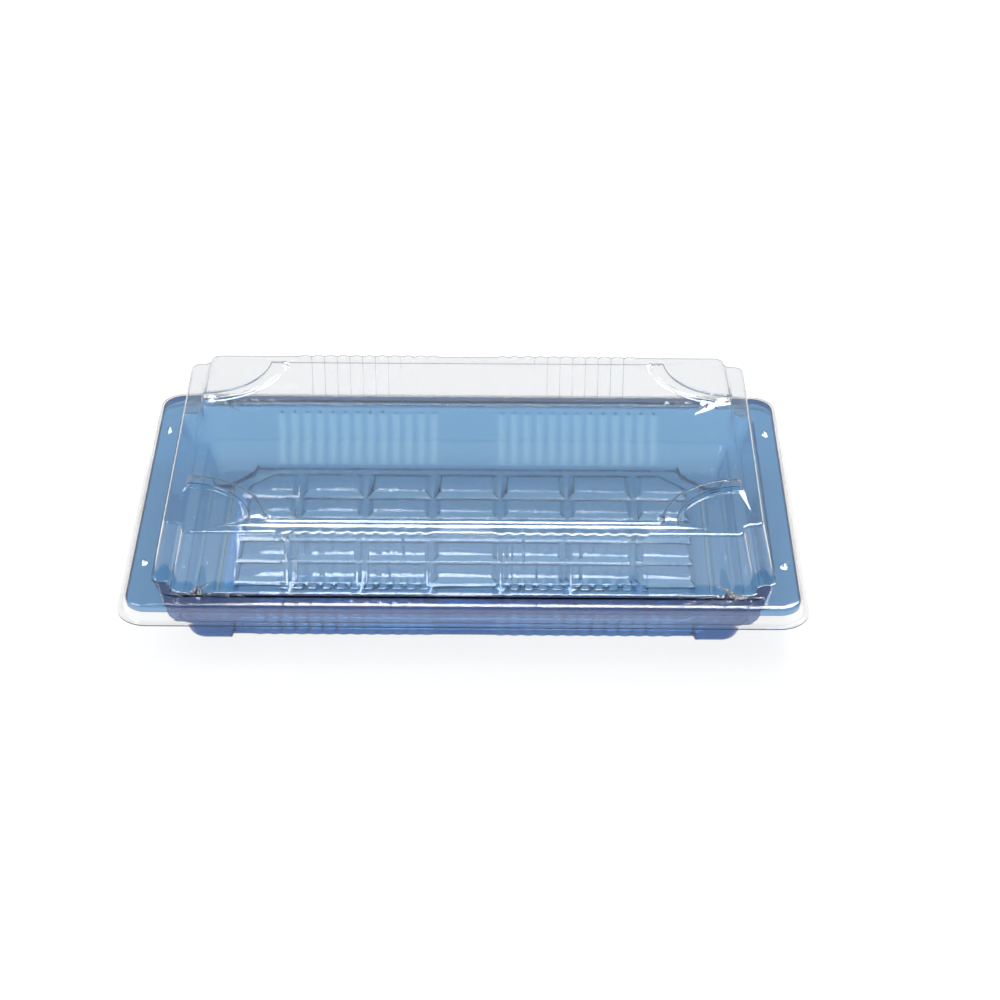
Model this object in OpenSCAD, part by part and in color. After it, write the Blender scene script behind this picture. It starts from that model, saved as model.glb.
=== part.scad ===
// Lidded growing tray: a shallow tinted base and a clear lift-off dome, both thin formed sheet.
// The origin is the centre of the base on the surface that its feet stand on.
// X runs along the tray, Y across it and Z up. Sizes are the upper or inner face of each sheet.

/* [Tray rim] */
// Length over the rim
rim_length = 216; // [200:1:280]
// Width over the rim
rim_width = 134; // [120:1:200]
// Height of the rim above the surface the feet stand on
rim_height = 22.6; // [18:0.2:40]
// Width of the flat flange round the opening
flange_w = 7.6; // [6:0.2:12]
// Radius of the rim's outer corners
rim_corner_r = 7.5; // [5:0.5:12]
// Drop of the rim's turned-down edge
rim_edge_drop = 2.5; // [1.5:0.1:5]

/* [Tray body] */
// Thickness of the tray's sheet
tray_sheet = 0.45; // [0.3:0.05:0.8]
// Height of the ledge part-way up the wall
ledge_height = 10.4; // [8:0.2:14]
// Inset of the end walls between the rim and the ledge
end_draft = 4.9; // [2:0.1:8]
// Inset of the long walls between the rim and the ledge
side_draft = 2; // [1:0.1:6]
// Width of the ledge on the end walls
end_ledge_w = 3.6; // [2:0.1:6]
// Width of the ledge on the long walls
side_ledge_w = 1.4; // [1:0.1:6]
// Inset of the lower wall between the ledge and the floor
lower_draft = 3; // [1:0.1:4]
// Height of the channel that runs round the floor
channel_height = 2.5; // [2:0.1:4]

/* [Corner step] */
// Length of the step cut from each corner of the opening
step_x = 6.4; // [5.8:0.1:9]
// Width of the same step
step_y = 6; // [5.8:0.1:9]
// Radius of the three curves of the step
step_r = 2.8; // [2:0.1:2.8]

/* [Floor] */
// Width of the channel at the ends of the raised floor
channel_end_w = 7.4; // [5:0.5:12]
// Width of the channel along its long sides
channel_side_w = 6.2; // [5:0.5:12]
// Length of the raised floor's cut corners, along X and along Y
floor_chamfer = 8.4; // [5:0.2:12]
// Height of the raised floor and its ribs above the channel
floor_rise = 1.9; // [1:0.1:3]
// Depth of the cells between the ribs
cell_depth = 1.5; // [0.8:0.1:2.5]
// Width of the border round the cells
cell_border = 4.8; // [3:0.2:8]
// Width of the ribs between the cells
rib_w = 2.8; // [2:0.1:4]
// Distance between the ribs that run across the tray
column_pitch = 23.3; // [16:0.1:40]
// Distance between the ribs that run along it
row_pitch = 13.5; // [10:0.1:30]

/* [Feet] */
// Length of each corner foot
foot_length = 14; // [8:0.2:18]
// Width of each corner foot
foot_width = 14.6; // [8:0.2:18]

/* [Flutes] */
// Radius of the flutes in the long walls
flute_r = 1.7; // [1:0.1:2]
// Distance from one flute to the next
flute_pitch = 4.5; // [4.2:0.1:8]
// How far each flute stands out of the wall
flute_bulge = 0.9; // [0.4:0.1:1]
// Half of the plain gap in the middle of the wall
flute_gap = 12; // [5:0.5:30]
// How far the tray's flutes stop below the rim
flute_stop = 2.6; // [1.5:0.1:4]
// Flutes in each group of the tray's wall
tray_flutes = 13; // [3:1:14]
// Flutes in each group of the dome's wall
dome_flutes = 11; // [3:1:13]

/* [Dome] */
// Thickness of the dome's sheet
dome_sheet = 0.4; // [0.3:0.05:0.8]
// Height of the dome's shoulder above the tray's rim
dome_rise = 21.7; // [15:0.5:60]
// Inset of the dome's end walls between foot and shoulder
dome_end_draft = 4.6; // [2:0.1:8]
// Inset of its long walls between foot and shoulder
dome_side_draft = 1.8; // [1:0.1:6]
// Height and inset of the rounded edge of the shoulder
shoulder_edge = 1; // [0.5:0.1:2]

/* [Dome top] */
// Width of the shoulder round the raised top
shoulder_w = 4; // [2:0.5:8]
// Height of the raised top above the shoulder
top_rise = 0.8; // [0.6:0.1:2]
// Outer radius of the curved ridge at each corner of the top
ridge_r = 28; // [20:1:34]
// Width of the ridge
ridge_w = 6; // [3:0.5:9]
// Height of the ridge above the raised top
ridge_rise = 0.5; // [0.3:0.1:1.5]
// Distance of the ridge's centre from the raised top's edges
ridge_centre_inset = 1; // [0:0.5:4]

/* [Dome skirt] */
// Gap between the skirt and the tray's rim
skirt_clearance = 0.8; // [0.4:0.1:1.5]
// Depth of the skirt below the tray's rim
skirt_drop = 6; // [4:0.5:10]
// Width of the outward lip at the skirt's foot
lip_w = 1.8; // [1:0.1:4]
// Radius of the locating buttons on the end flanges
button_r = 1.6; // [1:0.1:2.5]
// Height of the buttons
button_rise = 0.8; // [0.4:0.1:1.5]
// Distance of the buttons from the middle of the end flanges
button_y = 42; // [20:1:50]

/* [Hidden] */

arc_steps = 5;
corner_steps = 3 * arc_steps + 2;
rim_steps = 16;
flute_sides = 8;
past = 1;
$fn = 96;

rim_x = rim_length / 2;
rim_y = rim_width / 2;
opening_x = rim_x - flange_w;
opening_y = rim_y - flange_w;
ledge_tilt = 0.3;
body_corner_r = 4;

ledge_outer_x = opening_x - end_draft;
ledge_outer_y = opening_y - side_draft;
ledge_inner_x = ledge_outer_x - end_ledge_w;
ledge_inner_y = ledge_outer_y - side_ledge_w;
base_x = ledge_inner_x - lower_draft;
base_y = ledge_inner_y - lower_draft;

floor_x = base_x - channel_end_w;
floor_y = base_y - channel_side_w;
floor_top = channel_height + floor_rise;
cells_x = floor_x - cell_border;
cells_y = floor_y - cell_border;
columns = round(2 * cells_x / column_pitch);
rows = round(2 * cells_y / row_pitch);

flute_head = [
    opening_y - side_draft * flute_stop / (rim_height - ledge_height),
    rim_height - flute_stop];

dome_x = opening_x - dome_sheet;
dome_y = opening_y - dome_sheet;
shoulder_x = dome_x - dome_end_draft;
shoulder_y = dome_y - dome_side_draft;
shoulder_height = rim_height + dome_rise - dome_sheet;
edge_height = shoulder_height - shoulder_edge;
top_x = shoulder_x - shoulder_edge - shoulder_w;
top_y = shoulder_y - shoulder_edge - shoulder_w;
skirt_gap = skirt_clearance + dome_sheet;
skirt_x = rim_x + skirt_gap;
skirt_y = rim_y + skirt_gap;
skirt_r = rim_corner_r + skirt_gap;
button_x = rim_x - flange_w / 2;
button_top_r = button_r / 2;

// Points of an arc, both ends included.
function arc(centre, r, from, to, steps) =
    [for (i = [0:steps]) let (a = from + (to - from) * i / steps)
        centre + r * [cos(a), sin(a)]];

// One corner with its S-shaped step, for half sizes x and y.
function stepped_corner(x, y) = concat(
    arc([x - step_r, y - step_y - step_r], step_r, 0, 90, arc_steps),
    arc([x - step_x + step_r, y - step_y + step_r], step_r, 270, 180, arc_steps),
    arc([x - step_x - step_r, y - step_r], step_r, 0, 90, arc_steps));

// The same corner with a plain radius and as many points.
function plain_corner(x, y) =
    arc([x - body_corner_r, y - body_corner_r], body_corner_r, 0, 90, corner_steps);

// step is 1 for the full step, 0 for a plain corner and a blend between.
function corner(x, y, step) =
    let (full = stepped_corner(x, y), plain = plain_corner(x, y))
    [for (i = [0:corner_steps]) step * full[i] + (1 - step) * plain[i]];

// The four corners of a closed outline, from the one in the first quadrant.
function all_round(quarter) =
    let (last = len(quarter) - 1)
    concat(
        quarter,
        [for (i = [last:-1:0]) [-quarter[i].x, quarter[i].y]],
        [for (p = quarter) -p],
        [for (i = [last:-1:0]) [quarter[i].x, -quarter[i].y]]);

// A solid through outlines at rising heights. Each level is [height, half x, half y, step].
module loft(levels) {
    count = 4 * (corner_steps + 1);
    last = len(levels) - 1;
    skin = [for (l = levels) for (p = all_round(corner(l[1], l[2], l[3]))) [p.x, p.y, l[0]]];
    bottom = len(skin);
    ends = [[0, 0, levels[0][0]], [0, 0, levels[last][0]]];
    walls = [for (k = [0:last - 1]) for (i = [0:count - 1])
        let (j = (i + 1) % count, a = k * count + i, b = k * count + j)
        each [[a, a + count, b + count], [a, b + count, b]]];
    caps = [for (i = [0:count - 1]) let (j = (i + 1) % count)
        each [[bottom, i, j], [bottom + 1, last * count + j, last * count + i]]];
    polyhedron(points = concat(skin, ends), faces = concat(walls, caps), convexity = 6);
}

module rounded_plate(x, y, r) {
    polygon(all_round(arc([x - r, y - r], r, 0, 90, rim_steps)));
}

module cut_corner_plate(x, y, cut) {
    polygon(all_round([[x, y - cut], [x - cut, y]]));
}

// The outer band, w wide, of such a plate.
module rounded_ring(x, y, r, w) {
    difference() {
        rounded_plate(x, y, r);
        rounded_plate(x - w, y - w, r - w);
    }
}

// Two groups of flutes on each long wall. The wall's face runs from [y, z] at foot to [y, z] at head.
module flutes(count, foot, head, grow) {
    rise = head - foot;
    lean = atan2(rise.x, rise.y);
    axis_y = foot.x - flute_r + flute_bulge;
    for (side = [0, 180], group = [-1, 1], i = [0:count - 1])
        rotate(side)
            translate([group * (flute_gap + i * flute_pitch), -axis_y, foot.y])
                rotate([lean, 0, 0])
                    rotate(180 / flute_sides)
                        cylinder(r = flute_r + grow, h = norm(rise), $fn = flute_sides);
}

// The cells between the ribs, seen from above.
module cells(grow) {
    difference() {
        cut_corner_plate(cells_x + grow, cells_y + grow, floor_chamfer);
        for (i = [1:columns - 1])
            translate([(i - columns / 2) * column_pitch, 0])
                square([rib_w - 2 * grow, rim_width], center = true);
        for (i = [1:rows - 1])
            translate([0, (i - rows / 2) * row_pitch])
                square([rim_length, rib_w - 2 * grow], center = true);
    }
}

// One corner foot seen from above. Its inner side follows the raised floor's cut corner.
module foot_plan(grow) {
    x = base_x + grow;
    y = base_y + grow;
    r = body_corner_r;
    inner_x = base_x - foot_length - grow;
    inner_y = base_y - foot_width - grow;
    difference() {
        polygon(concat(
            arc([x - r, y - r], r, 0, 90, arc_steps),
            [[inner_x, y], [inner_x, inner_y], [x, inner_y]]));
        cut_corner_plate(floor_x - grow, floor_y - grow, floor_chamfer);
    }
}

// What the tray would hold when full, grown by the sheet's thickness for its outer face.
module tray_form(grow, above) {
    difference() {
        loft([
            [channel_height - grow, base_x + grow, base_y + grow, 0],
            [ledge_height - ledge_tilt - grow, ledge_inner_x + grow, ledge_inner_y + grow, 0],
            [ledge_height - grow, ledge_outer_x + grow, ledge_outer_y + grow, 0.1],
            [rim_height, opening_x + grow, opening_y + grow, 1],
            [rim_height + above, opening_x + grow, opening_y + grow, 1]]);
        translate([0, 0, -past])
            linear_extrude(floor_top - grow + past)
                cut_corner_plate(floor_x - grow, floor_y - grow, floor_chamfer);
    }
    translate([0, 0, floor_top - cell_depth - grow])
        linear_extrude(cell_depth + grow + past)
            cells(grow);
    for (x = [0, 1], y = [0, 1])
        mirror([x, 0, 0])
            mirror([0, y, 0])
                translate([0, 0, tray_sheet - grow])
                    linear_extrude(channel_height - tray_sheet + grow + past)
                        foot_plan(grow);
    flutes(tray_flutes, [base_y, channel_height - grow], [ledge_inner_y, ledge_height], grow);
    flutes(tray_flutes, [ledge_outer_y, ledge_height - grow], flute_head, grow);
}

module tray() {
    color("steelblue", 0.7)
        difference() {
            union() {
                tray_form(tray_sheet, 0);
                translate([0, 0, rim_height - tray_sheet])
                    linear_extrude(tray_sheet)
                        rounded_plate(rim_x, rim_y, rim_corner_r);
                translate([0, 0, rim_height - rim_edge_drop])
                    linear_extrude(rim_edge_drop)
                        rounded_ring(rim_x, rim_y, rim_corner_r, tray_sheet);
            }
            tray_form(0, past);
        }
}

// The raised top seen from above, its corners cut by the ridges' outer circles.
module top_plan(grow) {
    difference() {
        square([2 * (top_x + grow), 2 * (top_y + grow)], center = true);
        for (x = [-1, 1], y = [-1, 1])
            translate([x * (top_x - ridge_centre_inset), y * (top_y - ridge_centre_inset)])
                circle(r = ridge_r - ridge_w / 2);
    }
}

// The four curved ridges seen from above.
module ridge_plan(grow) {
    intersection() {
        square([2 * (top_x + grow), 2 * (top_y + grow)], center = true);
        for (x = [-1, 1], y = [-1, 1])
            translate([x * (top_x - ridge_centre_inset), y * (top_y - ridge_centre_inset)])
                difference() {
                    circle(r = ridge_r + grow);
                    circle(r = ridge_r - ridge_w - grow);
                }
    }
}

// The space under the dome, grown by the sheet's thickness for its outer face.
module dome_form(grow, below) {
    loft([
        [rim_height - below, dome_x + grow, dome_y + grow, 1],
        [rim_height + dome_sheet, dome_x + grow, dome_y + grow, 1],
        [edge_height, shoulder_x + grow, shoulder_y + grow, 1],
        [shoulder_height + grow, shoulder_x - shoulder_edge + grow, shoulder_y - shoulder_edge + grow, 1]]);
    translate([0, 0, shoulder_height - past])
        linear_extrude(top_rise + past + grow)
            top_plan(grow);
    translate([0, 0, shoulder_height - past])
        linear_extrude(top_rise + ridge_rise + past + grow)
            ridge_plan(grow);
    flutes(dome_flutes, [dome_y, rim_height + dome_sheet], [shoulder_y, edge_height], grow);
    for (x = [-1, 1], y = [-1, 1])
        translate([x * button_x, y * button_y, rim_height - below])
            cylinder(h = button_rise + grow + below, r1 = button_r + grow, r2 = button_top_r + grow);
}

module dome() {
    color("white", 0.35)
        difference() {
            union() {
                dome_form(dome_sheet, 0);
                translate([0, 0, rim_height])
                    linear_extrude(dome_sheet)
                        rounded_plate(skirt_x, skirt_y, skirt_r);
                translate([0, 0, rim_height - skirt_drop])
                    linear_extrude(skirt_drop + dome_sheet)
                        rounded_ring(skirt_x, skirt_y, skirt_r, dome_sheet);
                translate([0, 0, rim_height - skirt_drop])
                    linear_extrude(dome_sheet)
                        rounded_ring(skirt_x + lip_w, skirt_y + lip_w, skirt_r + lip_w, lip_w + dome_sheet);
            }
            dome_form(0, past);
        }
}

tray();
dome();
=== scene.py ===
import math

import bmesh
import bpy
from mathutils import Matrix, Vector


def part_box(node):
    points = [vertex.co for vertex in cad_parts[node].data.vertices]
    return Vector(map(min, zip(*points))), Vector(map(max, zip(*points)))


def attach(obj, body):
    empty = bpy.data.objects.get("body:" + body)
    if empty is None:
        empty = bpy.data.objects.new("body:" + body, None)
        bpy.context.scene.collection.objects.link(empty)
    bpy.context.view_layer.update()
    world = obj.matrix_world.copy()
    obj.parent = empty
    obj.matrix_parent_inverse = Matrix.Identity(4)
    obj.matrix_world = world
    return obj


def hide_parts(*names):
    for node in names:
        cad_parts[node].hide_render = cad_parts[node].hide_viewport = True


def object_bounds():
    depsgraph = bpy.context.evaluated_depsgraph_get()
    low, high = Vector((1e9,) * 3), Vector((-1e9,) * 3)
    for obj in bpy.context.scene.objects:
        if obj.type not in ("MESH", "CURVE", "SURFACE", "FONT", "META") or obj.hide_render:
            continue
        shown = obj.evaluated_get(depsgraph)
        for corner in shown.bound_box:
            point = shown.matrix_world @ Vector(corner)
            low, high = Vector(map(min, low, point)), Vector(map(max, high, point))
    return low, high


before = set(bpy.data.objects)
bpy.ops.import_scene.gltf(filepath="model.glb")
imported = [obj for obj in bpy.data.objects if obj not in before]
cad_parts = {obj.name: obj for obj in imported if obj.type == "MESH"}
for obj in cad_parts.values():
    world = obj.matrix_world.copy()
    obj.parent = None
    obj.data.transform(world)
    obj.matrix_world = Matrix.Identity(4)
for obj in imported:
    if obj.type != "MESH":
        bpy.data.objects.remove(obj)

MM = 0.001
cad_low, cad_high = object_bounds()
tray_low, tray_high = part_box("tray")
dome_low, dome_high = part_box("dome")

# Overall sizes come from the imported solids, in millimetres.
RIM_X = tray_high.x / MM
RIM_Y = tray_high.y / MM
RIM_Z = tray_high.z / MM
LIP_X = dome_high.x / MM
LIP_Y = dome_high.y / MM
LIP_Z = dome_low.z / MM
CREST_Z = dome_high.z / MM

# The opening and its stepped corners.
FLANGE_W = 7.6
OPENING_X = RIM_X - FLANGE_W
OPENING_Y = RIM_Y - FLANGE_W
STEP_X = 6.4
STEP_Y = 6.0
STEP_R = 2.8
START_X = OPENING_X - STEP_X - STEP_R
START_Y = OPENING_Y - STEP_Y - STEP_R
BODY_CORNER_R = 4.0
RIM_CORNER_R = 7.5

# The flutes of the long walls.
FLUTE_PITCH = 4.5
FLUTE_BULGE = 0.9
FLUTE_GAP = 12.0
TRAY_FLUTES = 13
DOME_FLUTES = 11
FLUTE_SLICES = 6
FLUTE_THINNING = 0.25
SIDE_THINNING = 0.5

# Columns of vertices nearer the middle than these stay square to the wall.
PLAIN_X = FLUTE_GAP + TRAY_FLUTES * FLUTE_PITCH - 2.0
PLAIN_Y = 26.0
END_STEP = 1.1

# The tray's wall and floor.
TRAY_SHEET = 0.45
EDGE_DROP = 2.5
LEDGE_Z = 10.4
CHANNEL_Z = 2.5
FLOOR_Z = 4.4
BASE_INSET_X = 11.5
BASE_INSET_Y = 6.4
BASE_X = OPENING_X - BASE_INSET_X
BASE_Y = OPENING_Y - BASE_INSET_Y
FLOOR_X = BASE_X - 7.4
FLOOR_Y = BASE_Y - 6.2
FLOOR_CUT = 8.4
FLOOR_SIDE_RUN = 2.4
CELL_BORDER = 4.8
CELL_X = FLOOR_X - CELL_BORDER
CELL_Y = FLOOR_Y - CELL_BORDER
CELL_DEPTH = 1.5
CELL_DRAFT = 1.6
CELL_EDGE = 0.5
RIB_W = 1.9
COLUMN_PITCH = 23.3
ROW_PITCH = 13.5
FOOT_X = BASE_X - 14.0
FOOT_Y = BASE_Y - 14.6
FOOT_DEPTH = CHANNEL_Z - TRAY_SHEET - 0.07
FOOT_LEAN = 0.7
FOOT_SIDE_RUN = 0.9
FOOT_LEAN_RUN = 10.0

# The dome.
DOME_SHEET = 0.4
AIR = 0.05
SHOULDER_Z = 44.3
SHOULDER_INSET_X = 4.6
SHOULDER_INSET_Y = 1.8
TOP_X = OPENING_X - SHOULDER_INSET_X - 5.0
TOP_Y = OPENING_Y - SHOULDER_INSET_Y - 5.0
TOP_RISE = 0.4
TOP_EDGE_RUN = 1.0
RIDGE_R = 22.0
RIDGE_W = 6.0
RIDGE_FLANK = 0.8
RIDGE_END_INSET = 0.3
RIDGE_END_RUN = 1.2
RIDGE_RISE = CREST_Z - SHOULDER_Z - TOP_RISE
LIP_W = 1.8
SKIRT_R = RIM_CORNER_R + 1.2
BUTTON_R = 1.6
BUTTON_RISE = 0.8
BUTTON_X = RIM_X - FLANGE_W / 2
BUTTON_Y = 42.0
LUG_X = 84.0
LUG_W = 2.4
LUG_OUT = 3.0
LUG_RISE = 3.4
LUG_SIDE_RUN = 1.2

# How the sheets are made and seen.
MERGE_DISTANCE = 0.005
LONG_RUN = 25.0
SMOOTH_ANGLE = 40
CELL_EDGE_ANGLE = 25
PET_IOR = 1.57
RIPPLE_LENGTH = 22.0
GRAIN_LENGTH = 3.0
RIPPLE_HEIGHT = 0.5

# The studio. Its camera looks down on the long side, a little to the right of the middle.
CAMERA_SLOPE = 32
CAMERA_ROLL = 0.35
CAMERA_AIM = (11.6, 0, 21)
CAMERA_AWAY = 967
CAMERA_LENS = 103.1
TABLE_GLOW = 0.86
ROOM_GLOW = 0.34


def clamp(value, low=0.0, high=1.0):
    return max(low, min(high, value))


def smooth(value):
    value = clamp(value)
    return value * value * (3 - 2 * value)


def signed(size, like):
    return math.copysign(size, like)


# ---------------------------------------------------------------- modelling helpers


def start_plate(name, half_x, half_y, z):
    """A flat rectangle in millimetres, left open in edit mode."""
    bpy.ops.object.select_all(action="DESELECT")
    bpy.ops.mesh.primitive_plane_add(size=2, location=(0, 0, z * MM))
    plate = bpy.context.object
    plate.name = plate.data.name = name
    plate.scale = (half_x * MM, half_y * MM, 1)
    bpy.ops.object.transform_apply(location=True, rotation=True, scale=True)
    bpy.ops.object.mode_set(mode="EDIT")
    bpy.ops.mesh.select_mode(type="VERT")
    bpy.ops.mesh.select_all(action="SELECT")
    return plate


def pick(piece, kind, test):
    """Selects the vertices, edges or faces whose points, in millimetres, pass the test."""
    bpy.ops.mesh.select_mode(type=kind)
    bpy.ops.mesh.select_all(action="DESELECT")
    mesh = bmesh.from_edit_mesh(piece.data)
    items = {"VERT": mesh.verts, "EDGE": mesh.edges, "FACE": mesh.faces}[kind]
    for item in items:
        points = [item.co / MM] if kind == "VERT" else [v.co / MM for v in item.verts]
        if test(points):
            item.select_set(True)
    mesh.select_flush_mode()
    bmesh.update_edit_mesh(piece.data)


def middle(points):
    return sum(points, Vector()) / len(points)


def cut(place, normal):
    """Cuts what is selected along a plane."""
    bpy.ops.mesh.bisect(plane_co=[c * MM for c in place], plane_no=normal)


def round_plate_corners(radius, segments, profile=0.5):
    bpy.ops.mesh.bevel(
        offset=radius * MM, segments=segments, profile=profile, affect="VERTICES"
    )


def only_outline():
    bpy.ops.mesh.select_all(action="SELECT")
    bpy.ops.mesh.delete(type="ONLY_FACE")


def divide_runs(piece, axis, size):
    """Divides the outline's straight runs along one axis into steps of about the given size."""

    def is_run(points):
        return abs(points[0][axis] - points[1][axis]) > LONG_RUN

    pick(piece, "EDGE", is_run)
    mesh = bmesh.from_edit_mesh(piece.data)
    length = max(e.calc_length() for e in mesh.edges if e.select) / MM
    bpy.ops.mesh.subdivide(number_cuts=4)
    bpy.ops.mesh.subdivide(number_cuts=max(1, round(length / 5 / size) - 1))


def remember_home(piece):
    """Keeps each outline vertex's first place, which rings drawn from it inherit."""
    mesh = bmesh.from_edit_mesh(piece.data)
    home = mesh.verts.layers.float_vector.new("home")
    for v in mesh.verts:
        v[home] = v.co / MM
    bmesh.update_edit_mesh(piece.data)


def draw_rings(piece, stations, place, first=False):
    """Draws the selected edge loop through stations, as the sheet is drawn over its mould."""
    for number, station in enumerate(stations):
        if number or not first:
            bpy.ops.mesh.extrude_region_move()
        mesh = bmesh.from_edit_mesh(piece.data)
        home = mesh.verts.layers.float_vector["home"]
        for v in mesh.verts:
            if v.select:
                v.co = place(v[home], station) * MM
        bmesh.update_edit_mesh(piece.data)


def rounded_path(keys, steps=3):
    """A path through the keys with each bend rounded. A key is its values and the length of its bend."""
    path = [Vector(keys[0][0])]
    for (before, _), (here, bend), (after, _) in zip(keys, keys[1:], keys[2:]):
        before, here, after = Vector(before), Vector(here), Vector(after)
        if not bend:
            path.append(here)
            continue
        back = (before - here) * min(0.48, bend / travel(before, here))
        on = (after - here) * min(0.48, bend / travel(after, here))
        for i in range(steps + 1):
            t = i / steps
            path.append(here + back * (1 - t) ** 2 + on * t**2)
    path.append(Vector(keys[-1][0]))
    return path


def travel(a, b):
    """Length between two keys, by their inset and their height, which are a key's first values."""
    return max(0.01, math.hypot(a[0] - b[0], a[1] - b[1]))


def leave_edit():
    bpy.ops.object.mode_set(mode="OBJECT")


def give_thickness(piece, thickness, drawn_thin):
    """Turns the skin into sheet on its lower or inner side, thinner where the forming drew it out."""
    bpy.ops.mesh.select_mode(type="FACE")
    bpy.ops.mesh.select_all(action="SELECT")
    bpy.ops.mesh.remove_doubles(threshold=MERGE_DISTANCE * MM)
    bpy.ops.mesh.normals_make_consistent(inside=False)
    leave_edit()
    up = sum(f.normal.z * f.area for f in piece.data.polygons)
    if up < 0:
        piece.data.flip_normals()
    left = piece.vertex_groups.new(name="sheet_left")
    for v in piece.data.vertices:
        left.add([v.index], 1 - drawn_thin(v.co / MM), "REPLACE")
    sheet = piece.modifiers.new("sheet", "SOLIDIFY")
    sheet.thickness = thickness * MM
    sheet.offset = -1
    sheet.use_even_offset = True
    sheet.vertex_group = left.name
    bpy.ops.object.modifier_apply(modifier=sheet.name)
    # Beside the feet a few points of the lower face would dip under the bench.
    for v in piece.data.vertices:
        v.co.z = max(v.co.z, 0)
    bpy.ops.object.shade_smooth_by_angle(angle=math.radians(SMOOTH_ANGLE))


# ---------------------------------------------------------------- outlines


def stepped_outline(name, z):
    """The outline of the opening, whose corners step in, as an edge loop."""
    plate = start_plate(name, OPENING_X, OPENING_Y, z)
    line_x = OPENING_X - STEP_X
    line_y = OPENING_Y - STEP_Y
    for side in (-1, 1):
        bpy.ops.mesh.select_all(action="SELECT")
        cut((side * line_x, 0, 0), (1, 0, 0))
        bpy.ops.mesh.select_all(action="SELECT")
        cut((0, side * line_y, 0), (0, 1, 0))
    pick(plate, "FACE", lambda p: abs(middle(p).x) > line_x and abs(middle(p).y) > line_y)
    bpy.ops.mesh.delete(type="FACE")
    bpy.ops.mesh.select_all(action="SELECT")
    bpy.ops.mesh.dissolve_faces()
    bpy.ops.mesh.select_mode(type="VERT")
    bpy.ops.mesh.select_all(action="SELECT")
    round_plate_corners(STEP_R, 9)
    only_outline()
    divide_runs(plate, 0, FLUTE_PITCH / FLUTE_SLICES)
    divide_runs(plate, 1, END_STEP)
    remember_home(plate)
    bpy.ops.mesh.select_all(action="SELECT")
    return plate


def corner_shares(home):
    """How far a vertex of the outline is into its corner, along X and along Y. Negative before it."""
    a = (abs(home.x) - START_X) / (STEP_X + STEP_R)
    b = (abs(home.y) - START_Y) / (STEP_Y + STEP_R)
    return a, b


def in_corner(home):
    return min(corner_shares(home)) > -0.001


def spread(value, start, plain, wanted):
    """Stretches a run so that its corner's start comes where it is wanted."""
    return value + (wanted - start) * clamp((value - plain) / (start - plain))


def round_corner(a, b, share):
    """Where a point of the stepped corner goes when the corner is round, in the same shares."""
    across = b - a
    if abs(across) > share:
        return (1, 1 + across) if across < 0 else (1 - across, 1)
    turn = math.pi / 4 + math.asin(clamp(across / (share * math.sqrt(2)), -1, 1))
    return 1 - share + share * math.cos(turn), 1 - share + share * math.sin(turn)


def flute(x, count):
    """How far the fluted wall stands out at x, from 0 to 1."""
    along = (abs(x) - FLUTE_GAP) / FLUTE_PITCH
    if along < -0.5 or along > count - 0.5:
        return 0.0
    return abs(math.cos(math.pi * (along - round(along)))) ** 1.5


def wall_xy(home, inset_x, inset_y, step):
    """A vertex of the wall's outline, moved in by its insets. Step 1 keeps the stepped corner."""
    x, y = abs(home.x), abs(home.y)
    if in_corner(home):
        a, b = corner_shares(home)
        round_a, round_b = round_corner(a, b, BODY_CORNER_R / (STEP_X + STEP_R))
        x = START_X + (step * a + (1 - step) * round_a) * (STEP_X + STEP_R) - inset_x
        y = START_Y + (step * b + (1 - step) * round_b) * (STEP_Y + STEP_R) - inset_y
    elif y > x * OPENING_Y / OPENING_X:
        x = spread(x, START_X, PLAIN_X, START_X - inset_x)
        y -= inset_y
    else:
        x -= inset_x
        y = spread(y, START_Y, PLAIN_Y, START_Y - inset_y)
    return x, y


def rim_xy(home, half_x, half_y, r):
    """The same vertex on a plain rectangle with round corners."""
    x, y = abs(home.x), abs(home.y)
    if in_corner(home):
        a, b = corner_shares(home)
        turn = (b - a + 1) * math.pi / 4
        return half_x - r + r * math.cos(turn), half_y - r + r * math.sin(turn)
    if y > x * OPENING_Y / OPENING_X:
        return spread(x, START_X, PLAIN_X, half_x - r), half_y
    return half_x, spread(y, START_Y, PLAIN_Y, half_y - r)


def put_back(x, y, z, home):
    return Vector((signed(x, home.x), signed(y, home.y), z))


# ---------------------------------------------------------------- tray


def foot_share(x, y):
    """1 over the corner feet, 0 elsewhere, with a steep side between."""
    return smooth((x - FOOT_X) / FOOT_SIDE_RUN) * smooth((y - FOOT_Y) / FOOT_SIDE_RUN)


def tray_rim_place(home, station):
    """A station of the rim is its inset, height and corner radius."""
    inset, z, r = station
    x, y = rim_xy(home, RIM_X - inset, RIM_Y - inset, r)
    return put_back(x, y, z, home)


def tray_wall_place(home, station):
    """A station of the wall is its insets, height, step, flute and foot."""
    inset_x, z, inset_y, step, fluted, foot = station
    x, y = wall_xy(home, inset_x, inset_y, step)
    down = foot * foot_share(x, y)
    if down:
        x -= FOOT_LEAN * down * clamp((x - FOOT_X) / FOOT_LEAN_RUN)
        y -= FOOT_LEAN * down * clamp((y - FOOT_Y) / FOOT_LEAN_RUN)
        z -= FOOT_DEPTH * down
    if abs(home.y) > OPENING_Y - 0.01:
        y += FLUTE_BULGE * fluted * flute(home.x, TRAY_FLUTES)
    return put_back(x, y, z, home)


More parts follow.
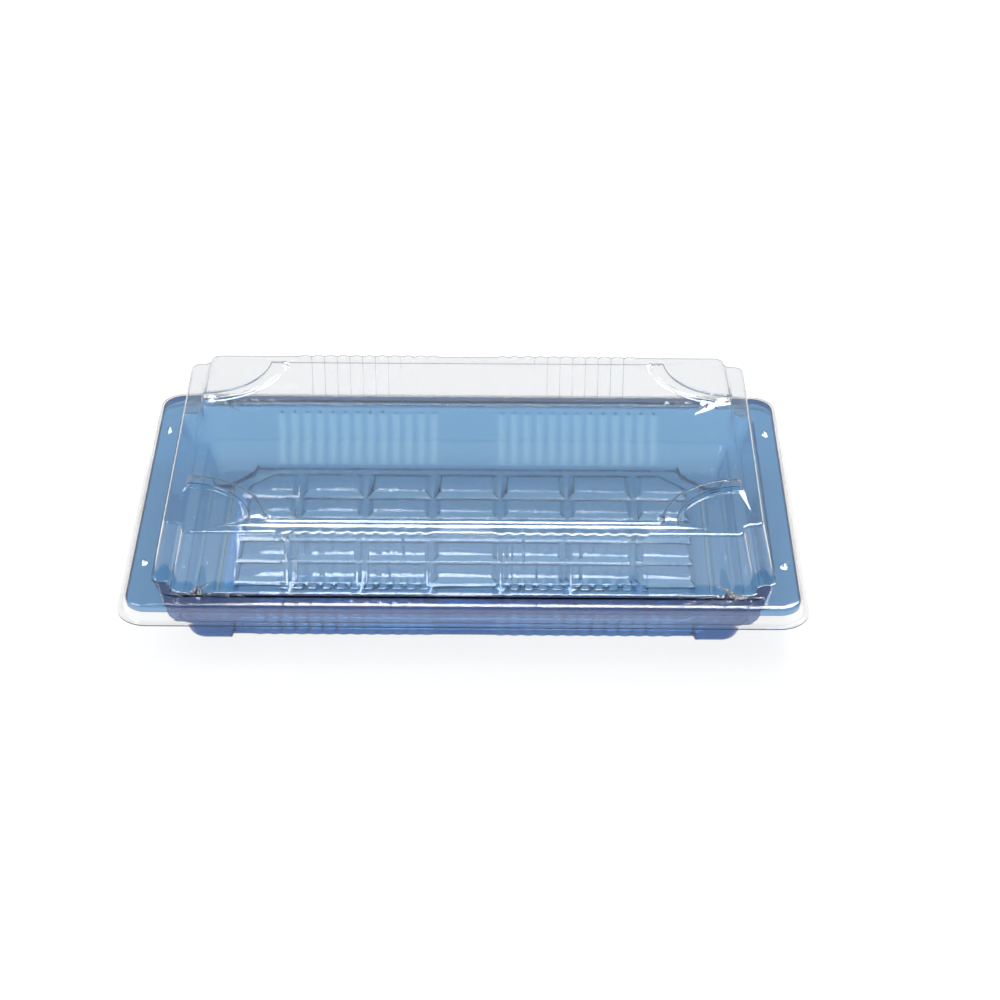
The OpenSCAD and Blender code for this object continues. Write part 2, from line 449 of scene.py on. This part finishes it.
def floor_place(home, station):
    """A station of the raised floor's edge is how far it is outside that edge, its height and its foot."""
    grow, z, foot = station
    x, y = wall_xy(home, BASE_INSET_X, BASE_INSET_Y, 0)
    side_x, side_y = FLOOR_X + grow, FLOOR_Y + grow
    cut_line = FLOOR_X + FLOOR_Y - FLOOR_CUT + grow * math.sqrt(2)
    last_x, last_y = FOOT_X + FOOT_SIDE_RUN, FOOT_Y + FOOT_SIDE_RUN
    if y > BASE_Y - 0.01 and x <= last_x:
        y = min(side_y, cut_line - x)
    elif x > BASE_X - 0.01 and y <= last_y:
        x = min(side_x, cut_line - y)
    else:
        share = (x - y - last_x + BASE_Y) / (BASE_X - last_y - last_x + BASE_Y)
        first, last = 2 * last_x - cut_line, cut_line - 2 * last_y
        along = first + share * (last - first)
        x, y = (cut_line + along) / 2, (cut_line - along) / 2
    return put_back(x, y, z - FOOT_DEPTH * foot * foot_share(x, y), home)


def tray_drawn_thin(point):
    """Share of the sheet lost where the flutes and the raised floor's end sides drew it out."""
    if abs(point.y) > BASE_Y - 0.5 and point.z < RIM_Z - 3:
        return FLUTE_THINNING * flute(point.x, TRAY_FLUTES)
    on_side = abs(point.y) < CELL_Y + 1 and FLOOR_Z - CELL_DEPTH + 0.1 < point.z < FLOOR_Z - 0.1
    return SIDE_THINNING if on_side else 0.0


def make_tray():
    tray = stepped_outline("blue_tray", RIM_Z)
    rim = [
        ((0, RIM_Z - EDGE_DROP, RIM_CORNER_R), 0),
        ((0, RIM_Z, RIM_CORNER_R), 1.3),
        ((2.0, RIM_Z, RIM_CORNER_R - 1), 0),
    ]
    wall = [
        ((-1.2, RIM_Z, -1.2, 1, 0, 0), 0),
        ((0, RIM_Z, 0, 1, 0, 0), 1.0),
        ((0.9, RIM_Z - 2.2, 0.4, 0.85, 0, 0), 0),
        ((1.2, RIM_Z - 3.2, 0.5, 0.75, 1, 0), 0),
        ((4.9, LEDGE_Z, 2.0, 0.1, 1, 0), 0.7),
        ((8.5, LEDGE_Z - 0.3, 3.4, 0, 1, 0), 0.9),
        ((BASE_INSET_X - 0.9, CHANNEL_Z + 2.2, BASE_INSET_Y - 0.7, 0, 1, 0), 0),
        ((BASE_INSET_X, CHANNEL_Z, BASE_INSET_Y, 0, 0.8, 1), 1.6),
        ((BASE_INSET_X + 2, CHANNEL_Z, BASE_INSET_Y + 2, 0, 0, 1), 0),
    ]
    floor = [
        ((FLOOR_SIDE_RUN + 0.8, CHANNEL_Z, 1), 0),
        ((FLOOR_SIDE_RUN, CHANNEL_Z, 1), 0.5),
        ((0, FLOOR_Z, 0), 0.5),
        ((-1.2, FLOOR_Z, 0), 0),
    ]
    draw_rings(tray, rounded_path(rim), tray_rim_place, first=True)
    draw_rings(tray, rounded_path(wall), tray_wall_place)
    draw_rings(tray, rounded_path(floor), floor_place)
    bpy.ops.mesh.edge_face_add()
    sink_cells(tray)
    give_thickness(tray, TRAY_SHEET, tray_drawn_thin)
    return tray


def sink_cells(tray):
    """Sets the cells between the ribs off from the raised floor.

    Known fault: the floor's faces point down at this stage, so the negative depth raises the cells by
    CELL_DEPTH and leaves the ribs as grooves. The solid tray has its cells sunk by that much.
    """

    def outside(point, half_x, half_y):
        x, y = abs(point.x) - half_x, abs(point.y) - half_y
        return max(x, y, (x + y + FLOOR_CUT) / math.sqrt(2))

    def on_top(points):
        c = middle(points)
        return c.z > FLOOR_Z - 0.01 and outside(c, FLOOR_X, FLOOR_Y) < -1.25

    lines = []
    for side in (-1, 1):
        lines.append(((side * CELL_X, 0, 0), (1, 0, 0)))
        lines.append(((0, side * CELL_Y, 0), (0, 1, 0)))
        for other in (-1, 1):
            lines.append(((side * CELL_X, other * (CELL_Y - FLOOR_CUT), 0), (side, other, 0)))
    for place, normal in lines:
        pick(tray, "FACE", on_top)
        cut(place, normal)

    def inside(points):
        return on_top(points) and outside(middle(points), CELL_X, CELL_Y) < 0

    columns = round(2 * CELL_X / COLUMN_PITCH)
    rows = round(2 * CELL_Y / ROW_PITCH)
    ribs = [((i - columns / 2) * COLUMN_PITCH, 0) for i in range(1, columns)]
    ribs += [((i - rows / 2) * ROW_PITCH, 1) for i in range(1, rows)]
    pick(tray, "FACE", inside)
    bpy.ops.mesh.dissolve_faces()
    for at, along in ribs:
        for side in (-RIB_W / 2, RIB_W / 2):
            pick(tray, "FACE", inside)
            place, normal = [0, 0, 0], [0, 0, 0]
            place[along] = at + side
            normal[along] = 1
            cut(place, normal)

    def is_cell(points):
        c = middle(points)
        return inside(points) and all(abs(c[along] - at) > RIB_W / 2 for at, along in ribs)

    pick(tray, "FACE", is_cell)
    bpy.ops.mesh.inset(thickness=CELL_DRAFT * MM, depth=-CELL_DEPTH * MM)

    def of_cells(points):
        return all(outside(p, CELL_X, CELL_Y) < 0.01 and p.z > CHANNEL_Z for p in points)

    pick_sharp(tray, CELL_EDGE_ANGLE, of_cells)
    bpy.ops.mesh.bevel(offset=CELL_EDGE * MM, segments=3, affect="EDGES", clamp_overlap=True)


def pick_sharp(piece, degrees, test):
    """Selects the inner edges that bend by more than so many degrees."""
    bpy.ops.mesh.select_mode(type="EDGE")
    bpy.ops.mesh.select_all(action="DESELECT")
    mesh = bmesh.from_edit_mesh(piece.data)
    for e in mesh.edges:
        if len(e.link_faces) != 2 or not test([v.co / MM for v in e.verts]):
            continue
        if e.calc_face_angle(0) > math.radians(degrees):
            e.select_set(True)
    mesh.select_flush_mode()
    bmesh.update_edit_mesh(piece.data)


# ---------------------------------------------------------------- dome


def dome_rim_place(home, station):
    """A station of the skirt and flange is its inset from the skirt, height and corner radius."""
    inset, z, r = station
    x, y = rim_xy(home, LIP_X - LIP_W - inset, LIP_Y - LIP_W - inset, r)
    off = math.hypot(x - BUTTON_X, y - BUTTON_Y)
    z += BUTTON_RISE * smooth(1.3 * (1 - off / BUTTON_R))
    return put_back(x, y, z, home)


def dome_wall_place(home, station):
    """A station of the wall is its insets, height and flute."""
    inset_x, z, inset_y, fluted = station
    x, y = wall_xy(home, inset_x, inset_y, 1)
    if abs(home.y) > OPENING_Y - 0.01:
        y += FLUTE_BULGE * fluted * flute(home.x, DOME_FLUTES)
        y, z = lug_yz(home.x, y, z)
    return put_back(x, y, z, home)


def lug_yz(x, y, z):
    """Small lugs that stiffen the foot of the long walls where they meet the flange."""
    share = smooth((LUG_W - abs(abs(x) - LUG_X)) / LUG_SIDE_RUN)
    out, rise = y - OPENING_Y, z - RIM_Z - DOME_SHEET
    along = rise - max(out, 0)
    if not share or not -LUG_OUT < along < LUG_RISE:
        return y, z
    up = (along + LUG_OUT) / (LUG_RISE + LUG_OUT)
    lug_out, lug_rise = LUG_OUT * (1 - up), LUG_RISE * up
    return y + share * (lug_out - out), z + share * (lug_rise - rise)


def top_height(x, y):
    """Heights of the raised top and its curved corner ridges."""
    from_x, from_y = TOP_X - x, TOP_Y - y
    edge = min(from_x, from_y)
    out = math.hypot(from_x, from_y) - RIDGE_R
    rise = smooth(edge / TOP_EDGE_RUN) * smooth(out / RIDGE_FLANK)
    across = smooth(out / RIDGE_FLANK) * smooth((RIDGE_W - out) / RIDGE_FLANK)
    ridge = smooth((edge - RIDGE_END_INSET) / RIDGE_END_RUN) * across
    return SHOULDER_Z + TOP_RISE * rise + RIDGE_RISE * ridge


def top_place(home, station):
    """A station of the raised top is its inset. Its corners are scooped out round the corner points."""
    inset = station[0]
    r = RIDGE_R + inset
    turn = math.asin(inset / r)
    x, y = abs(home.x), abs(home.y)
    if in_corner(home):
        a, b = corner_shares(home)
        angle = turn + (b - a + 1) / 2 * (math.pi / 2 - 2 * turn)
        x, y = TOP_X - r * math.sin(angle), TOP_Y - r * math.cos(angle)
    elif y > x * OPENING_Y / OPENING_X:
        x *= (TOP_X - r * math.cos(turn)) / START_X
        y = TOP_Y - inset
    else:
        x = TOP_X - inset
        y *= (TOP_Y - r * math.cos(turn)) / START_Y
    return put_back(x, y, top_height(x, y), home)


def dome_drawn_thin(point):
    """Share of the sheet lost where the flutes drew it out."""
    on_wall = abs(point.y) > OPENING_Y - SHOULDER_INSET_Y - 1 and RIM_Z + 2.5 < point.z < SHOULDER_Z
    return FLUTE_THINNING * flute(point.x, DOME_FLUTES) if on_wall else 0.0


def make_dome():
    flange_z = RIM_Z + DOME_SHEET
    lip_top = LIP_Z + DOME_SHEET
    dome = stepped_outline("clear_dome", flange_z)
    rim = [
        ((-LIP_W, lip_top, SKIRT_R + LIP_W), 0),
        ((0, lip_top, SKIRT_R), 0.8),
        ((0.3, flange_z, SKIRT_R - 0.3), 1.5),
        ((2.6, flange_z, SKIRT_R - 2), 0),
    ]
    button_rows = 11
    for i in range(1, button_rows + 1):
        rim.append(((2.6 + 4.0 * i / button_rows, flange_z, SKIRT_R - 2), 0))
    wall = [
        ((-1.2, flange_z, -3.2, 0), 0),
        ((-1.1, flange_z, -2.6, 0), 0),
        ((-1.0, flange_z, -1.8, 0), 0),
        ((0, flange_z, 0, 0), 1.0),
        ((0.35, flange_z + 1.6, 0.15, 0), 0),
        ((0.6, flange_z + 2.8, 0.25, 1), 0),
        ((0.8, flange_z + 3.8, 0.33, 1), 0),
        ((4.2, SHOULDER_Z - 1.9, 1.65, 1.1), 0),
        ((SHOULDER_INSET_X, SHOULDER_Z, SHOULDER_INSET_Y, 1.4), 1.1),
        ((SHOULDER_INSET_X + 1.6, SHOULDER_Z, SHOULDER_INSET_Y + 1.6, 0.8), 0),
        ((SHOULDER_INSET_X + 3.2, SHOULDER_Z, SHOULDER_INSET_Y + 3.2, 0), 0),
    ]
    # The top's rings crowd together on the two flanks of the ridge.
    flank = [RIDGE_FLANK * i / 4 for i in range(6)]
    insets = flank + [2.2, 3.6] + [RIDGE_W - RIDGE_FLANK * 1.25 + w for w in flank] + [RIDGE_W + 0.8]
    top = [(inset,) for inset in insets]
    # Known fault: on the long sides the wall's first ring lies 1 mm outside the rim's last one, so the
    # flange folds over itself along that strip and some points of its sheet have no thickness.
    draw_rings(dome, rounded_path(rim, 4), dome_rim_place, first=True)
    draw_rings(dome, rounded_path(wall, 4), dome_wall_place)
    draw_rings(dome, top, top_place)
    bpy.ops.mesh.edge_face_add()
    give_thickness(dome, DOME_SHEET - AIR, dome_drawn_thin)
    return dome


# ---------------------------------------------------------------- materials


def linear(hex_colour):
    """An sRGB hex colour as linear RGBA."""
    values = [int(hex_colour[i : i + 2], 16) / 255 for i in (1, 3, 5)]
    return tuple(
        v / 12.92 if v <= 0.04045 else ((v + 0.055) / 1.055) ** 2.4 for v in values
    ) + (1.0,)


def add_node(tree, kind, settings=(), links=()):
    """Adds a node. Settings are attributes or input values, and links go from input name to output."""
    node = tree.nodes.new(kind)
    for key, value in dict(settings).items():
        if isinstance(key, str) and hasattr(node, key):
            setattr(node, key, value)
        else:
            node.inputs[key].default_value = value
    for key, source in dict(links).items():
        tree.links.new(source, node.inputs[key])
    return node


def formed_sheet(name, let_through, density, roughness, haze):
    """Formed PET sheet: tinted all through, so that thicker and slanted sheet looks deeper in colour.

    The skin is glossy. The mould leaves it a little wavy over 22 mm, which bends the lines seen through it,
    and rubbing leaves a 3 mm grain that breaks up its highlights.
    """
    material = bpy.data.materials.new(name)
    material.use_nodes = True
    tree = material.node_tree
    tree.nodes.clear()
    spot = add_node(tree, "ShaderNodeTexCoord")
    ripple = add_node(
        tree,
        "ShaderNodeTexNoise",
        {"Scale": 1 / (RIPPLE_LENGTH * MM), "Detail": 1.0, "Roughness": 0.4},
        {"Vector": spot.outputs["Object"]},
    )
    grain = add_node(
        tree,
        "ShaderNodeTexNoise",
        {"Scale": 1 / (GRAIN_LENGTH * MM), "Detail": 2.0},
        {"Vector": spot.outputs["Object"]},
    )
    waves = add_node(
        tree,
        "ShaderNodeMath",
        {"operation": "MULTIPLY_ADD", 1: 0.12},
        {0: grain.outputs["Fac"], 2: ripple.outputs["Fac"]},
    )
    bump = add_node(
        tree,
        "ShaderNodeBump",
        {"Strength": 0.18, "Distance": RIPPLE_HEIGHT * MM},
        {"Height": waves.outputs["Value"]},
    )
    wear = add_node(
        tree,
        "ShaderNodeMapRange",
        {"To Min": roughness * 0.6, "To Max": roughness * 1.6},
        {"Value": grain.outputs["Fac"]},
    )
    skin = add_node(
        tree,
        "ShaderNodeBsdfPrincipled",
        {"IOR": PET_IOR, "Transmission Weight": 1 - haze, "Base Color": linear("#FFFFFF")},
        {"Roughness": wear.outputs["Result"], "Normal": bump.outputs["Normal"]},
    )
    body = add_node(tree, "ShaderNodeVolumeAbsorption", {"Color": let_through, "Density": density})
    add_node(
        tree,
        "ShaderNodeOutputMaterial",
        {},
        {"Surface": skin.outputs["BSDF"], "Volume": body.outputs["Volume"]},
    )
    return material


def coat(piece, material):
    piece.data.materials.clear()
    piece.data.materials.append(material)


# ---------------------------------------------------------------- stage


def make_floor():
    bpy.ops.object.select_all(action="DESELECT")
    bpy.ops.mesh.primitive_plane_add(size=8, location=(0, 0, cad_low.z - 0.02 * MM))
    floor = bpy.context.object
    floor.name = "studio_floor"
    # Opal acrylic lit from below: matt, even and a little darker where the sheets shade it.
    table = bpy.data.materials.new("white acrylic light table")
    table.use_nodes = True
    shader = table.node_tree.nodes["Principled BSDF"]
    shader.inputs["Base Color"].default_value = linear("#909090")
    shader.inputs["Roughness"].default_value = 0.9
    shader.inputs["Specular IOR Level"].default_value = 0.0
    shader.inputs["Emission Color"].default_value = linear("#FFFFFF")
    shader.inputs["Emission Strength"].default_value = TABLE_GLOW
    floor.data.materials.append(table)


def add_light(name, place, aim, width, height, power):
    data = bpy.data.lights.new(name, "AREA")
    data.shape = "RECTANGLE"
    data.size = width
    data.size_y = height
    data.energy = power
    lamp = bpy.data.objects.new(name, data)
    bpy.context.scene.collection.objects.link(lamp)
    lamp.location = place
    lamp.rotation_euler = (Vector(aim) - Vector(place)).to_track_quat("-Z", "Y").to_euler()


def light_studio():
    world = bpy.data.worlds.new("white studio")
    world.use_nodes = True
    back = world.node_tree.nodes["Background"]
    back.inputs["Color"].default_value = linear("#FFFFFF")
    back.inputs["Strength"].default_value = ROOM_GLOW
    bpy.context.scene.world = world
    add_light("high_softbox", (0.2, 0.7, 1.0), (0, 0, 0), 0.9, 0.6, 17)
    add_light("window_left", (-0.9, -0.3, 0.8), (0, 0, 0.02), 0.5, 0.7, 5)


def place_camera():
    slope = math.radians(CAMERA_SLOPE)
    roll = math.radians(CAMERA_ROLL)
    aim = Vector(CAMERA_AIM) * MM
    away = Vector((0, -math.cos(slope), math.sin(slope)))
    data = bpy.data.cameras.new("camera")
    data.lens = CAMERA_LENS
    data.sensor_width = 36
    data.clip_start = 0.05
    camera = bpy.data.objects.new("camera", data)
    bpy.context.scene.collection.objects.link(camera)
    camera.location = aim + away * CAMERA_AWAY * MM
    turn = Matrix.Rotation(roll, 4, away)
    camera.rotation_euler = (turn @ (-away).to_track_quat("-Z", "Y").to_matrix().to_4x4()).to_euler()
    bpy.context.scene.camera = camera


def main():
    tray = make_tray()
    dome = make_dome()
    coat(tray, formed_sheet("blue formed PET sheet", linear("#00B7E1"), 4100, 0.03, 0.005))
    coat(dome, formed_sheet("clear formed PET sheet", linear("#003040"), 150, 0.03, 0.015))
    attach(tray, "tray")
    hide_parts("tray")
    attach(dome, "dome")
    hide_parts("dome")
    make_floor()
    light_studio()
    place_camera()
    scene = bpy.context.scene
    scene.view_settings.view_transform = "Standard"
    scene.cycles.max_bounces = 32
    scene.cycles.transmission_bounces = 32
    scene.cycles.transparent_max_bounces = 48
    scene.cycles.glossy_bounces = 8


main()
